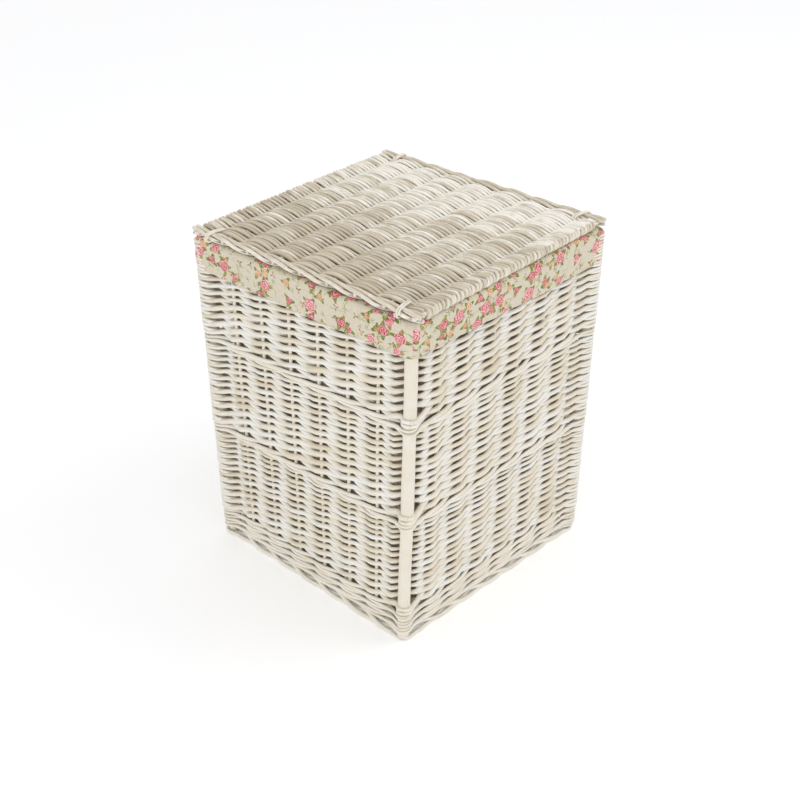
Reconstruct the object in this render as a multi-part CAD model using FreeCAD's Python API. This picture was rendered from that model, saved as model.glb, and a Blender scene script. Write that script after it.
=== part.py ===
import FreeCAD, Part
import math
import os

# Square willow laundry basket with a cotton liner and a loose woven lid.
# Millimetres, +Z up. The origin is the middle of the square foot, on the floor.
# The front side faces -Y, the right side +X, the back side +Y and the left side -X.
# The body widens a little from foot to rim and turns a little on the way up, as
# hand-woven square bodies do. Every height is found on straight lines from foot to rim,
# so stakes and posts are straight and every side is a ruled surface.

# --- body ------------------------------------------------------------------------
BODY_HEIGHT = 494.0          # floor to the top of the rim border
FOOT_HALF = 188.5            # half the width over the weave, at the floor
TOP_HALF = 197.0             # half the width over the weave, at the rim
BODY_TWIST = 2.0             # degrees that the rim is turned from the foot
WEAVE_THICKNESS = 17.0       # front of the front rod to back of the back rod, at a stake
WALE_PROUD = 1.5             # how far wales stand proud of the weave
BAND_INNER = 18.0            # inner face of wales and borders, from the weave's face
ROD_AXIS = 9.0               # stake and post axes, from the weave's face
STAKES_PER_SIDE = 6
STAKE_DIAMETER = 5.0
POST_DIAMETER = 15.0
ROD_END_MARGIN = 3.0         # how far stakes and posts stop short of floor and rim top

FOOT_BORDER_TOP = 13.0
FOOT_WALE_TOP = 47.0
LOWER_WALE = (187.0, 200.5)
UPPER_WALE = (335.5, 349.0)
RIM_BORDER_BOTTOM = 480.0

# --- base ------------------------------------------------------------------------
BASE_BOTTOM = 14.0
BASE_THICKNESS = 13.0
BASE_STICK_DIAMETER = 6.0
BASE_STICKS = 7
BASE_EDGE_STICK_DIAMETER = 9.0
BASE_EDGE_STICK_OFFSET = 162.0

# --- liner -----------------------------------------------------------------------
CLOTH = 2.2                  # thickness that the soft cloth and its creases take up
LINER_OUTER = 20.0           # outer face of the bag, from the weave's face
LINER_GAP = 0.5              # air under the bag, and between the fold and the rim
CUFF_INNER_HALF = 198.6      # upright band, so that it clears the rim as it lifts
CUFF_HEM = 447.0
ELASTIC_WIDTH = 6.0
ELASTIC_THICKNESS = 0.8
ELASTIC_ABOVE_HEM = 2.0

# --- lid -------------------------------------------------------------------------
LID_HALF = 200.0
LID_TURN = 3.0               # degrees; the loose lid lies a little further round than the rim
LID_BOTTOM = 497.2
LID_THICKNESS = 13.0
LID_EDGE_ROUNDING = 5.5
LID_SIDE_STICK_DIAMETER = 7.0
LID_SIDE_STICK_OFFSET = 192.0
LID_SIDE_STICK_HALF = 198.5
LID_RIBS = 7
LID_RIB_DIAMETER = 5.0
LID_RIB_PITCH = 47.5
LID_RIB_HALF = 196.0
LID_EDGE_WALE_WIDTH = 18.0
LID_EDGE_WALE_THICKNESS = 11.0
BINDING_OFFSET = 168.0       # middle of each binding, from the lid's centre line
BINDING_WIDTH = 5.0
BINDING_THICKNESS = 2.0

SIDES = ("front", "right", "back", "left")
CORNERS = ("front_right", "back_right", "back_left", "front_left")
OVERSHOOT = 1.0              # how far cutting tools run past the faces they open


def turned(along, outward, side, angle):
    """Point in the plan of one side, whose outward way is turned from -Y by quarters."""
    plan = FreeCAD.Vector(along, -outward, 0.0)
    turn = FreeCAD.Rotation(FreeCAD.Vector(0, 0, 1), 90.0 * side + angle)
    return turn.multVec(plan)


def wall_point(side, share, end_inset, inset, z):
    """Point behind a side's outer face: share runs -1 to 1 between the ends of the side."""
    foot = turned(share * (FOOT_HALF - end_inset), FOOT_HALF - inset, side, 0.0)
    top = turned(share * (TOP_HALF - end_inset), TOP_HALF - inset, side, BODY_TWIST)
    height = z / BODY_HEIGHT
    point = foot * (1.0 - height) + top * height
    point.z = z
    return point


def loft(lower, upper):
    """Closed solid between two outlines with the same number of corners."""
    wires = [Part.makePolygon(outline + outline[:1]) for outline in (lower, upper)]
    return Part.makeLoft(wires, True, True)


def square_outline(inset, z):
    return [wall_point(side, 1.0, inset, inset, z) for side in range(len(SIDES))]


def frustum(inset, z_low, z_high):
    """Square solid that follows the body's taper and turn."""
    return loft(square_outline(inset, z_low), square_outline(inset, z_high))


def band(outer_inset, inner_inset, z_low, z_high):
    """Square ring that follows the body's taper and turn."""
    core = frustum(inner_inset, z_low - OVERSHOOT, z_high + OVERSHOOT)
    return frustum(outer_inset, z_low, z_high).cut(core)


def turned_about_middle(shape, angle):
    """The same shape, turned about the vertical line through the origin."""
    shape = shape.copy()
    shape.rotate(FreeCAD.Vector(0, 0, 0), FreeCAD.Vector(0, 0, 1), angle)
    return shape


def upright_frame(outer_half, inner_half, z_low, z_high):
    """Upright square ring in line with the rim."""
    height = z_high - z_low
    outer = Part.makeBox(2 * outer_half, 2 * outer_half, height)
    outer.translate(FreeCAD.Vector(-outer_half, -outer_half, z_low))
    inner = Part.makeBox(2 * inner_half, 2 * inner_half, height + 2 * OVERSHOOT)
    inner.translate(FreeCAD.Vector(-inner_half, -inner_half, z_low - OVERSHOOT))
    return turned_about_middle(outer.cut(inner), BODY_TWIST)


def wall_slab(side, z_low, z_high):
    """Woven filling of one side between two bands, from post to post."""
    def outline(z):
        face = [wall_point(side, share, BAND_INNER, 0.0, z) for share in (-1.0, 1.0)]
        back = [wall_point(side, share, BAND_INNER, WEAVE_THICKNESS, z) for share in (1.0, -1.0)]
        return face + back
    return loft(outline(z_low), outline(z_high))


def rod(start, end, diameter):
    along = end.sub(start)
    return Part.makeCylinder(diameter / 2, along.Length, start, along)


def bar(x_low, x_high, y_low, y_high, z_low, z_high):
    box = Part.makeBox(x_high - x_low, y_high - y_low, z_high - z_low)
    box.translate(FreeCAD.Vector(x_low, y_low, z_low))
    return box


def save(name, solids):
    """Write one node, as one solid or as a group of separate solids."""
    shape = solids[0] if len(solids) == 1 else Part.makeCompound(solids)
    shape.exportStep(os.path.join("parts", name + ".step"))
    volume = sum(solid.Volume for solid in solids) / 1000.0
    print(f"{name}: {len(shape.Solids)} solid(s), {volume:.1f} cm3, valid {shape.isValid()}")


def body_rods():
    """Corner posts and side stakes, which every band and filling is woven round."""
    low = ROD_END_MARGIN
    high = BODY_HEIGHT - ROD_END_MARGIN
    posts = {}
    for side, corner in enumerate(CORNERS):
        foot = wall_point(side, 1.0, ROD_AXIS, ROD_AXIS, low)
        top = wall_point(side, 1.0, ROD_AXIS, ROD_AXIS, high)
        posts["corner_post_" + corner] = rod(foot, top, POST_DIAMETER)
    stakes = {}
    for side, name in enumerate(SIDES):
        row = []
        for number in range(1, STAKES_PER_SIDE + 1):
            share = 2.0 * number / (STAKES_PER_SIDE + 1) - 1.0
            foot = wall_point(side, share, ROD_AXIS, ROD_AXIS, low)
            top = wall_point(side, share, ROD_AXIS, ROD_AXIS, high)
            row.append(rod(foot, top, STAKE_DIAMETER))
        stakes["stakes_" + name] = row
    return posts, stakes


def make_body():
    posts, stakes = body_rods()
    for name, post in posts.items():
        save(name, [post])
    for name, row in stakes.items():
        save(name, row)

    rods = list(posts.values()) + [stake for row in stakes.values() for stake in row]
    bands = {
        "foot_border": (-WALE_PROUD, 0.0, FOOT_BORDER_TOP),
        "foot_wale": (-WALE_PROUD, FOOT_BORDER_TOP, FOOT_WALE_TOP),
        "lower_wale": (-WALE_PROUD, *LOWER_WALE),
        "upper_wale": (-WALE_PROUD, *UPPER_WALE),
        "rim_border": (0.0, RIM_BORDER_BOTTOM, BODY_HEIGHT),
    }
    for name, (outer_inset, z_low, z_high) in bands.items():
        save(name, [band(outer_inset, BAND_INNER, z_low, z_high).cut(rods)])

    fillings = {
        "lower_weave": (FOOT_WALE_TOP, LOWER_WALE[0]),
        "middle_weave": (LOWER_WALE[1], UPPER_WALE[0]),
        "upper_weave": (UPPER_WALE[1], RIM_BORDER_BOTTOM),
    }
    for name, (z_low, z_high) in fillings.items():
        for side, side_name in enumerate(SIDES):
            slab = wall_slab(side, z_low, z_high)
            save(name + "_" + side_name, [slab.cut(stakes["stakes_" + side_name])])


def make_base():
    """Woven floor of the basket: sticks from left to right, rods woven across them."""
    top = BASE_BOTTOM + BASE_THICKNESS
    middle = (BASE_BOTTOM + top) / 2
    floor = frustum(BAND_INNER, BASE_BOTTOM, top)

    def stick(y, diameter):
        reach = FOOT_HALF
        start = FreeCAD.Vector(-reach, y, middle)
        end = FreeCAD.Vector(reach, y, middle)
        return rod(start, end, diameter).common(floor)

    pitch = 2.0 * BASE_EDGE_STICK_OFFSET / (BASE_STICKS + 1)
    first = -BASE_EDGE_STICK_OFFSET
    inner = [stick(first + pitch * number, BASE_STICK_DIAMETER) for number in range(1, BASE_STICKS + 1)]
    edge = [stick(sign * BASE_EDGE_STICK_OFFSET, BASE_EDGE_STICK_DIAMETER) for sign in (-1, 1)]
    save("base_sticks", inner)
    save("base_edge_sticks", edge)
    save("base_weave", [floor.cut(inner + edge)])


def make_liner():
    """Cotton bag inside the body, with its top turned down over the rim as a cuff."""
    base_top = BASE_BOTTOM + BASE_THICKNESS
    bag_bottom = base_top + LINER_GAP
    fold_bottom = BODY_HEIGHT + LINER_GAP
    fold_top = fold_bottom + CLOTH
    hollow = frustum(LINER_OUTER + CLOTH, bag_bottom + CLOTH, fold_top + OVERSHOOT)
    bag = frustum(LINER_OUTER, bag_bottom, fold_bottom).cut(hollow)
    save("liner_bag", [bag])

    outer_half = CUFF_INNER_HALF + CLOTH
    band_part = upright_frame(outer_half, CUFF_INNER_HALF, CUFF_HEM, fold_top)
    lid_of_fold = upright_frame(outer_half, TOP_HALF - LINER_OUTER - 2 * CLOTH, fold_bottom, fold_top)
    fold = lid_of_fold.cut(hollow)
    elastic_middle = CUFF_INNER_HALF + CLOTH / 2
    elastic = upright_frame(
        elastic_middle + ELASTIC_THICKNESS / 2,
        elastic_middle - ELASTIC_THICKNESS / 2,
        CUFF_HEM + ELASTIC_ABOVE_HEM,
        CUFF_HEM + ELASTIC_ABOVE_HEM + ELASTIC_WIDTH,
    )
    cuff = band_part.fuse(fold).removeSplitter().cut(elastic)
    save("liner_cuff", [cuff])
    save("cuff_elastic", [elastic])


def lid_rod(y, half_length, diameter):
    middle = LID_BOTTOM + LID_THICKNESS / 2
    start = FreeCAD.Vector(-half_length, y, middle)
    end = FreeCAD.Vector(half_length, y, middle)
    return rod(start, end, diameter)


def make_lid():
    """Flat woven lid: ribs from left to right, rods woven across and round the side sticks."""
    top = LID_BOTTOM + LID_THICKNESS
    middle = (LID_BOTTOM + top) / 2
    side_sticks = {
        "lid_side_stick_front": lid_rod(-LID_SIDE_STICK_OFFSET, LID_SIDE_STICK_HALF, LID_SIDE_STICK_DIAMETER),
        "lid_side_stick_back": lid_rod(LID_SIDE_STICK_OFFSET, LID_SIDE_STICK_HALF, LID_SIDE_STICK_DIAMETER),
    }
    first_rib = -LID_RIB_PITCH * (LID_RIBS - 1) / 2
    ribs = [
        lid_rod(first_rib + LID_RIB_PITCH * number, LID_RIB_HALF, LID_RIB_DIAMETER)
        for number in range(LID_RIBS)
    ]
    weave_half = LID_HALF - LID_EDGE_WALE_WIDTH
    weave = bar(-weave_half, weave_half, -LID_HALF, LID_HALF, LID_BOTTOM, top)
    long_edges = [
        edge for edge in weave.Edges
        if abs(edge.Vertexes[0].X - edge.Vertexes[1].X) > weave_half
    ]
    weave = weave.makeFillet(LID_EDGE_ROUNDING, long_edges)

    half_thickness = LID_EDGE_WALE_THICKNESS / 2
    edge_wales = {}
    bindings = {}
    for name, sign in (("left", -1), ("right", 1)):
        x_low = min(sign * LID_HALF, sign * weave_half)
        x_high = max(sign * LID_HALF, sign * weave_half)
        z_low = middle - half_thickness
        z_high = middle + half_thickness
        edge_wales[name] = bar(x_low, x_high, -LID_HALF, LID_HALF, z_low, z_high)
        for end_name, end_sign in (("front", -1), ("back", 1)):
            y_low = end_sign * BINDING_OFFSET - BINDING_WIDTH / 2
            y_high = y_low + BINDING_WIDTH
            loop = bar(
                x_low - BINDING_THICKNESS, x_high + BINDING_THICKNESS,
                y_low, y_high,
                LID_BOTTOM, top,
            )
            loop = loop.cut(edge_wales[name])
            bindings["lid_binding_" + end_name + "_" + name] = loop
    weave = weave.cut(list(side_sticks.values()) + ribs + list(bindings.values()))

    def save_turned(name, solids):
        save(name, [turned_about_middle(solid, LID_TURN) for solid in solids])

    for name, stick in side_sticks.items():
        save_turned(name, [stick])
    save_turned("lid_ribs", ribs)
    save_turned("lid_weave", [weave])
    for name, wale in edge_wales.items():
        save_turned("lid_edge_wale_" + name, [wale.cut(list(side_sticks.values()) + ribs)])
    for name, loop in bindings.items():
        save_turned(name, [loop])


os.makedirs("parts", exist_ok=True)
make_body()
make_base()
make_liner()
make_lid()
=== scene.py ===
"""Square laundry basket of whitewashed willow, with a rose-print cotton liner and a loose woven lid."""

import logging
import math
from dataclasses import dataclass
from enum import Enum
from typing import Sequence, Union

import bmesh
import bpy
import numpy as np
from mathutils import Matrix, Vector


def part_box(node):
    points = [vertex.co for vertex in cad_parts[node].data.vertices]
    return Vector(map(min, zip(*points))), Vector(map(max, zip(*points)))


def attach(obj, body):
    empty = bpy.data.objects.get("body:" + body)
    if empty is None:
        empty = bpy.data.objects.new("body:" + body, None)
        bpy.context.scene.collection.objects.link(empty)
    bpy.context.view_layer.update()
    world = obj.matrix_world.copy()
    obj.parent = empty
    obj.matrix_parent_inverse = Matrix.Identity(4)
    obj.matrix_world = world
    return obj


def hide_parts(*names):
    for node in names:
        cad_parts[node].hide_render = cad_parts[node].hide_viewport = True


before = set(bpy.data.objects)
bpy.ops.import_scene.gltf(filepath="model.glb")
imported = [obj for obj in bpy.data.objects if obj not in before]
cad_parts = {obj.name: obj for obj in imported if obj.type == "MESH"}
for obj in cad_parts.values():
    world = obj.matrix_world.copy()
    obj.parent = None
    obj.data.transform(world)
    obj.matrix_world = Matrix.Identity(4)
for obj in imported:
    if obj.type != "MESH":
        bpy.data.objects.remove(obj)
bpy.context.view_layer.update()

MM = 0.001
QUARTER_TURN = math.pi / 2
EIGHTH_TURN = math.pi / 4
SEED = 7
STAKES_PER_SIDE = 6
SPANS = STAKES_PER_SIDE + 1      # gaps between neighbouring uprights on one side
STATIONS = 4 * SPANS             # stakes and posts round the whole body
RODS = 3                         # that take turns in waling and borders
UP = np.array([0.0, 0.0, 1.0])

# Sockets of a colour Mix node, whose names aren't unique.
MIX_A = 6
MIX_B = 7
MIX_RESULT = 2

Array = np.ndarray
Draws = np.random.Generator
Finish = bpy.types.Material
Mesh = bpy.types.Mesh
Node = bpy.types.Node
Piece = bpy.types.Object
Socket = bpy.types.NodeSocket
Value = Union[float, str, tuple, Node, Socket]

log = logging.getLogger("laundry_basket")


class Side(Enum):
    """The four walls, in the order in which they follow each other round the body."""

    FRONT = 0
    RIGHT = 1
    BACK = 2
    LEFT = 3


class Corner(Enum):
    """The corner posts; each stands at the right-hand end of the wall of the same number."""

    FRONT_RIGHT = 0
    BACK_RIGHT = 1
    BACK_LEFT = 2
    FRONT_LEFT = 3


# --- Finishes --------------------------------------------------------------------------------


def linear_colour(code: str) -> tuple[float, float, float, float]:
    """Turn an sRGB hex colour to the linear values that shaders take.

    Args:
        code: six hex digits after a hash.

    Returns:
        Linear red, green and blue, with an alpha of 1.
    """
    shares = [int(code[start:start + 2], 16) / 255 for start in (1, 3, 5)]
    linear = [share / 12.92 if share <= 0.04045 else ((share + 0.055) / 1.055) ** 2.4 for share in shares]
    return (*linear, 1.0)


class NodeGraph:
    """The nodes of one new material."""

    def __init__(self, name: str) -> None:
        """Start an empty material of that name."""
        self.material = bpy.data.materials.new(name)
        self.material.use_nodes = True
        self.material.node_tree.nodes.clear()

    def add(self, kind: str, inputs: dict[Union[str, int], Value], **settings: object) -> Node:
        """Add one node with its settings and links.

        Args:
            kind: the node's type without its prefix, such as Math.
            inputs: what each socket gets: a number, a hex colour, a node (its first output) or a socket.
            settings: the node's own properties.

        Returns:
            The new node.
        """
        node = self.material.node_tree.nodes.new("ShaderNode" + kind)
        for setting, value in settings.items():
            setattr(node, setting, value)
        for socket, value in inputs.items():
            if isinstance(value, Node):
                value = value.outputs[0]
            if isinstance(value, Socket):
                self.material.node_tree.links.new(value, node.inputs[socket])
            else:
                is_colour = isinstance(value, str)
                node.inputs[socket].default_value = linear_colour(value) if is_colour else value
        return node

    def math(self, operation: str, *values: Value, clamp: bool = False) -> Node:
        """Add one step of arithmetic on one to three values, held from 0 to 1 if asked."""
        return self.add("Math", dict(enumerate(values)), operation=operation, use_clamp=clamp)

    def mix(self, share: Value, first: Value, second: Value) -> Socket:
        """Blend from a first colour to a second one."""
        blend = self.add("Mix", {0: share, MIX_A: first, MIX_B: second}, data_type="RGBA")
        return blend.outputs[MIX_RESULT]

    def ramp(self, value: Value, low: float, high: float, shape: str = "LINEAR") -> Node:
        """Turn a value to 0 where it is low and 1 where it is high."""
        inputs = {"Value": value, "From Min": low, "From Max": high}
        return self.add("MapRange", inputs, interpolation_type=shape)

    def noise(self, place: Value, scale: float, detail: float = 2.0) -> Node:
        """Add soft random patches, whose size is 1 over the scale in metres."""
        return self.add("TexNoise", {"Vector": place, "Scale": scale, "Detail": detail})

    def stretch(self, place: Value, *lengths: float) -> Node:
        """Measure each axis of the coordinates in a length of its own."""
        return self.add("Mapping", {"Vector": place, "Scale": tuple(1 / length for length in lengths)})

    def bump(self, height: Value, strength: float, distance: float) -> Node:
        """Raise the surface where the value is high."""
        return self.add("Bump", {"Height": height, "Strength": strength, "Distance": distance})

    def surface(self, colour: Value, roughness: float, ior: float, **more: Value) -> Finish:
        """Shade the surface and send it to the output.

        Args:
            colour: of the surface.
            roughness: 0 for a mirror, 1 for chalk.
            ior: refractive index.
            more: other inputs of the shader, with _ for each space.

        Returns:
            The finished material.
        """
        inputs = {socket.replace("_", " "): value for socket, value in more.items()}
        inputs.update({"Base Color": colour, "Roughness": roughness, "IOR": ior})
        self.add("OutputMaterial", {"Surface": self.add("BsdfPrincipled", inputs)})
        return self.material


class Fibres(Enum):
    """Where a willow finish reads the way that its fibres run."""

    ALONG_ROD = "grain"
    OBJECT_X = "x"


@dataclass(frozen=True)
class Willow:
    """Willow rods, boiled, peeled and woven, then dipped in a thin white wash.

    The wash stays thick and cool where rods cross. It is rubbed thin on the proud bends, so the
    cream wood shows there in streaks along the fibres. Deep in the weave, where shade falls, the
    colour is darkened to brown as painted shade. No two rods have quite the same cream.
    """

    name: str
    fibres: Fibres = Fibres.ALONG_ROD
    wash_colour: str = "#EAE8E2"
    wood_colour: str = "#E6DDCB"
    brown_colour: str = "#CBBC9D"
    # painted shade: the colour laid on surfaces deep in the weave, where shade falls
    painted_shade_colour: str = "#8A7864"
    wash_cover: float = 0.0
    streak_length: float = 28 * MM
    streak_width: float = 1.7 * MM
    patch_size: float = 16 * MM
    streak_wear: float = 1.3     # how much the streaks and the patches change the wash
    patch_wear: float = 0.8
    streak_brown: float = 0.9    # how much the streaks change the wood
    grain_depth: float = 0.5 * MM
    roughness: float = 0.6

    def build(self) -> Finish:
        """Make the material.

        Returns:
            The finished material.
        """
        graph = NodeGraph(self.name)
        woven = self.fibres is Fibres.ALONG_ROD
        if woven:
            along = graph.add("Attribute", {}, attribute_name=self.fibres.value).outputs["Vector"]
        else:
            along = graph.add("TexCoord", {}).outputs["Object"]
        stretched = graph.stretch(along, self.streak_length, self.streak_width, self.streak_width)
        streaks = graph.noise(stretched, 1.0, 3.0)
        patches = graph.noise(along, 1 / self.patch_size)
        streak_share = graph.math("ADD", streaks, -0.5)
        patch_share = graph.math("ADD", patches, -0.5)
        if woven:
            wash, tone, painted_shade = (
                graph.add("Attribute", {}, attribute_name=name).outputs["Fac"]
                for name in ("wash", "tone", "painted_shade")
            )
        else:
            wash, tone = patches, graph.math("ADD", patch_share, 0.4)
        worn = graph.math("MULTIPLY_ADD", streak_share, self.streak_wear, wash)
        worn = graph.math("MULTIPLY_ADD", patch_share, self.patch_wear, worn)
        cover = graph.ramp(worn, 0.1 - self.wash_cover, 0.9 - self.wash_cover, "SMOOTHSTEP")
        brown = graph.math("MULTIPLY_ADD", streak_share, self.streak_brown, tone, clamp=True)
        wood = graph.mix(brown, self.wood_colour, self.brown_colour)
        colour = graph.mix(cover, wood, self.wash_colour)
        if woven:
            # Painted shade: surfaces deep in the weave darken towards the shade colour.
            colour = graph.mix(painted_shade, colour, self.painted_shade_colour)
        bump = graph.bump(streaks, 0.4, self.grain_depth)
        return graph.surface(colour, self.roughness, 1.5, Normal=bump)


@dataclass(frozen=True)
class Motif:
    """One kind of printed flower: how big, how far apart and in which colours."""

    cell: float                  # mean distance from flower to flower
    flower: float                # radius of the flower head
    leaf: float                  # how far leaves reach beyond the head
    leaves: int
    share: float                 # part of the cells that has a flower
    shift: tuple[float, float]   # moves the scatter, so that kinds don't fall together
    deep: str
    middle: str
    pale: str
    petal: float                 # width of one petal ring


@dataclass(frozen=True)
class RosePrintCotton:
    """Medium plain-weave cotton, printed with small roses on a natural ground.

    The ground is a warm off-white with darker slubs both ways of the weave. The print is matt and
    has no edge to the touch: crimson and pink roses, a few in apricot, with olive leaves.
    """

    name: str = "printed_cotton"
    ground: str = "#D4CCB8"
    slub: str = "#C6BCA6"
    leaf_light: str = "#A09D52"
    leaf_dark: str = "#66723F"
    thread: float = 1.0 * MM     # real threads are 0.4 mm; drawn coarser so that they show
    slub_length: float = 9 * MM
    edge: float = 0.35 * MM      # how soft the printed edges are
    ragged: float = 4 * MM       # size of the dents in printed outlines
    dent: float = 2.4 * MM       # how deep those are
    stem_gap: float = 24 * MM    # between the lines that stems follow
    stem_bend: float = 14 * MM   # length of one bend in a stem
    stem_width: float = 0.7 * MM
    motifs: tuple[Motif, ...] = (
        Motif(17 * MM, 0.0, 4.6 * MM, 5, 0.62, (3.7, 1.9), "#6F8648", "#9AA457", "#9AA457", 2.0 * MM),
        Motif(22 * MM, 2.3 * MM, 3.4 * MM, 3, 0.60, (0.4, 7.3), "#B9505E", "#DB8E92", "#EAC4BE", 2.2 * MM),
        Motif(40 * MM, 5.4 * MM, 5.6 * MM, 3, 0.80, (5.2, 2.8), "#B0683A", "#D29A6C", "#E9CFAE", 2.6 * MM),
        Motif(35 * MM, 6.2 * MM, 5.6 * MM, 3, 0.82, (8.1, 5.5), "#AE384C", "#D3707A", "#ECBAB6", 2.8 * MM),
        Motif(40 * MM, 9.0 * MM, 6.4 * MM, 4, 0.90, (1.3, 4.1), "#AB3449", "#D46D79", "#EDC0BC", 3.2 * MM),
    )

    def printed(self, graph: NodeGraph, inside: Node, present: Node) -> Node:
        """Mask a printed shape, given the distance inside its outline and which cells have one."""
        return graph.math("MULTIPLY", graph.ramp(inside, 0.0, self.edge), present)

    def stamp(self, graph: NodeGraph, place: Node, under: Value, motif: Motif) -> Socket:
        """Print one kind of flower over what is there.

        Args:
            graph: the material's nodes.
            place: the cloth's coordinates, in metres.
            under: the colour so far.
            motif: the kind of flower.

        Returns:
            The new colour.
        """
        step = (1 / motif.cell,) * 3
        cells = graph.add("Mapping", {"Vector": place, "Location": (*motif.shift, 0.0), "Scale": step})
        scattered = {"Vector": cells, "Scale": 1.0, "Randomness": 0.8}
        scatter = graph.add("TexVoronoi", scattered, voronoi_dimensions="2D")
        chance = graph.add("SeparateXYZ", {0: scatter.outputs["Color"]}).outputs
        arm = graph.add("VectorMath", {0: cells, 1: scatter.outputs["Position"]}, operation="SUBTRACT")
        across = graph.add("SeparateXYZ", {0: arm}).outputs
        angle = graph.math("ARCTAN2", across[1], across[0])
        angle = graph.math("MULTIPLY_ADD", chance[0], math.tau, angle)
        ragged = graph.noise(place, 1 / self.ragged)
        wobble = graph.math("MULTIPLY_ADD", ragged, self.dent, -self.dent / 2)
        radius = graph.math("MULTIPLY_ADD", scatter.outputs["Distance"], motif.cell, wobble)
        present = graph.math("LESS_THAN", chance[1], motif.share)

        # Leaves: pointed lobes that stand out all round from under the head.
        lobe = graph.math("COSINE", graph.math("MULTIPLY", angle, motif.leaves / 2))
        lobe = graph.math("POWER", graph.math("MULTIPLY", lobe, lobe), 3.0)
        reach = graph.math("MULTIPLY_ADD", lobe, motif.leaf, motif.flower * 0.9)
        leaf_mask = self.printed(graph, graph.math("SUBTRACT", reach, radius), present)
        leaf = graph.mix(graph.ramp(ragged, 0.4, 0.6, "SMOOTHSTEP"), self.leaf_dark, self.leaf_light)
        colour = graph.mix(leaf_mask, under, leaf)
        if motif.flower == 0.0:
            return colour

        # Head: petals wound in a spiral, darker where one tucks under the next.
        sizes = {"Value": chance[2], "To Min": 0.78 * motif.flower, "To Max": 1.12 * motif.flower}
        size = graph.add("MapRange", sizes)
        head_mask = self.printed(graph, graph.math("SUBTRACT", size, radius), present)
        arms = graph.math("MULTIPLY", angle, 2.0)
        rings = graph.math("MULTIPLY_ADD", radius, math.tau / motif.petal, arms)
        rings = graph.math("SINE", graph.math("MULTIPLY_ADD", ragged, 11.0, rings))
        petals = graph.math("MULTIPLY_ADD", rings, 0.42, 0.42)
        shade = graph.add("ValToRGB", {0: graph.math("MULTIPLY_ADD", chance[2], 0.25, petals)})
        stops = shade.color_ramp.elements
        stops.new(0.5)
        for stop, level, code in zip(stops, (0.1, 0.5, 0.95), (motif.deep, motif.middle, motif.pale)):
            stop.position = level
            stop.color = linear_colour(code)
        return graph.mix(head_mask, colour, shade)

    def stems(self, graph: NodeGraph, place: Node, under: Value) -> Socket:
        """Print thin curling stems here and there.

        Args:
            graph: the material's nodes.
            place: the cloth's coordinates, in metres.
            under: the colour so far.

        Returns:
            The new colour.
        """
        bends = graph.noise(place, 1 / self.stem_bend, 1.0).outputs["Color"]
        curl = graph.add("VectorMath", {0: bends, "Scale": self.stem_bend}, operation="SCALE")
        curled = graph.add("VectorMath", {0: place, 1: curl}, operation="ADD")
        lines = graph.add(
            "TexVoronoi", {"Vector": curled, "Scale": 1 / self.stem_gap},
            voronoi_dimensions="2D", feature="DISTANCE_TO_EDGE",
        )
        half = self.stem_width / self.stem_gap
        drawn = graph.ramp(lines.outputs["Distance"], half, 0.4 * half)
        kept = graph.ramp(graph.noise(place, 1 / (0.7 * self.stem_gap)), 0.5, 0.54)
        return graph.mix(graph.math("MULTIPLY", drawn, kept), under, self.leaf_light)

    def build(self) -> Finish:
        """Make the material.

        Returns:
            The finished material.
        """
        graph = NodeGraph(self.name)
        place = graph.add("UVMap", {}, uv_map="cloth")
        warp, weft = (
            graph.noise(graph.stretch(place, *lengths, 1.0), 1.0, 1.0)
            for lengths in ((self.thread, self.slub_length), (self.slub_length, self.thread))
        )
        weave = graph.math("ADD", warp, weft)
        ground = graph.mix(graph.ramp(weave, 0.85, 1.3), self.ground, self.slub)
        colour = self.stems(graph, place, ground)
        for motif in self.motifs:
            colour = self.stamp(graph, place, colour, motif)
        bump = graph.bump(weave, 0.3, 0.3 * MM)
        return graph.surface(colour, 0.85, 1.45, Sheen_Weight=0.15, Normal=bump)


@dataclass(frozen=True)
class UnprintedCotton:
    """Wrong side of the printed cotton: the same plain weave, undyed and a little fuzzier."""

    name: str = "unprinted_cotton"
    # Darker than the printed ground: partly the wrong side's own colour, partly painted shade where it shows
    # through the weave's gaps.
    light: str = "#BFB5A1"
    dark: str = "#ABA08C"
    slub: float = 5 * MM

    def build(self) -> Finish:
        """Make the material.

        Returns:
            The finished material.
        """
        graph = NodeGraph(self.name)
        slubs = graph.noise(graph.add("UVMap", {}, uv_map="cloth"), 1 / self.slub, 4.0)
        colour = graph.mix(slubs, self.light, self.dark)
        return graph.surface(colour, 0.9, 1.45, Normal=graph.bump(slubs, 0.3, 0.3 * MM))


@dataclass(frozen=True)
class WovenElastic:
    """Flat white braided elastic: fine ribs along its length, slightly shiny."""

    name: str = "elastic"
    light: str = "#F4F2EC"
    dark: str = "#D9D5CA"
    rib: float = 1.2 * MM
    rib_length: float = 6 * MM

    def build(self) -> Finish:
        """Make the material.

        Returns:
            The finished material.
        """
        graph = NodeGraph(self.name)
        place = graph.stretch(graph.add("UVMap", {}, uv_map="cloth"), self.rib_length, self.rib, 1.0)
        waves = {"Vector": place, "Scale": 0.5, "Distortion": 0.6}
        ribs = graph.add("TexWave", waves, bands_direction="Y").outputs["Fac"]
        colour = graph.mix(ribs, self.dark, self.light)
        return graph.surface(colour, 0.55, 1.5, Normal=graph.bump(ribs, 0.5, 0.2 * MM))


@dataclass(frozen=True)
class StudioPaper:
    """Matt white background paper: almost even, with a faint mottle."""

    name: str = "studio_paper"
    colour: str = "#FAFBFE"
    mottle: str = "#FAFAFA"
    glow: float = 0.145          # lit a little from below, as on a light table

    def build(self) -> Finish:
        """Make the material.

        Returns:
            The finished material.
        """
        graph = NodeGraph(self.name)
        clouds = graph.noise(graph.add("TexCoord", {}).outputs["Object"], 3.0)
        colour = graph.mix(clouds, self.mottle, self.colour)
        return graph.surface(colour, 0.9, 1.45, Emission_Color="#FFFFFF", Emission_Strength=self.glow)


# --- Rods ------------------------------------------------------------------------------------


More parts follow.
